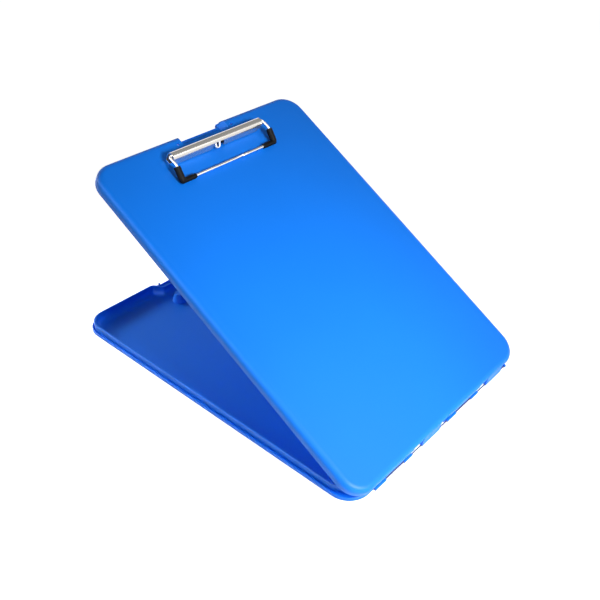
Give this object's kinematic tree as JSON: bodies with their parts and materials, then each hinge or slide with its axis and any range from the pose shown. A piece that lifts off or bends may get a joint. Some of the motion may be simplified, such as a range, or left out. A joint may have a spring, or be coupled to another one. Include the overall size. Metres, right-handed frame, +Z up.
{
  "type": "storage clipboard",
  "caption": "Letter-size storage clipboard: shallow tray with a board lid on a steel hinge pin and a low-profile wire paper clip near its top edge.",
  "frame": {"origin": "centre of the tray's flat underside, in the middle of the 240 x 336 mm outline", "axes": "+Z up, +Y from the hinge towards the latch end, +X to the right of someone writing on the lid"},
  "size_m": [0.24, 0.3399, 0.1859],
  "materials": {
    "tray_plastic": "satin injection-moulded polypropylene, blue",
    "lid_plastic": "satin injection-moulded polypropylene, blue",
    "hinge_steel": "drawn steel rod",
    "clip_nickel": "bright nickel-plated sheet steel",
    "bail_wire": "bright nickel-plated spring wire",
    "grip_rubber": "soft black rubber sleeve"
  },
  "bodies": {
    "root": {"storage_tray": "tray_plastic", "hinge_pin": "hinge_steel"},
    "lid": {"lid_board": "lid_plastic", "clip_hood": "clip_nickel", "clip_rivet_left": "clip_nickel", "clip_rivet_right": "clip_nickel"},
    "bail": {"wire_bail": "bail_wire", "rubber_grip_left": "grip_rubber", "rubber_grip_right": "grip_rubber"}
  },
  "joints": [
    {"name": "lid_hinge", "type": "hinge", "parent": "root", "child": "lid", "pos_m": [0, -0.1695, 0.0035], "axis": [1, 0, 0], "range_deg": [-31, 94]},
    {"name": "bail_hinge", "type": "hinge", "parent": "lid", "child": "bail", "pos_m": [0, 0.09076, 0.18333], "axis": [-1, 0, 0], "range_deg": [0, 25], "stiffness_Nm_per_rad": 0.35, "springref_deg": -34.38}
  ]
}
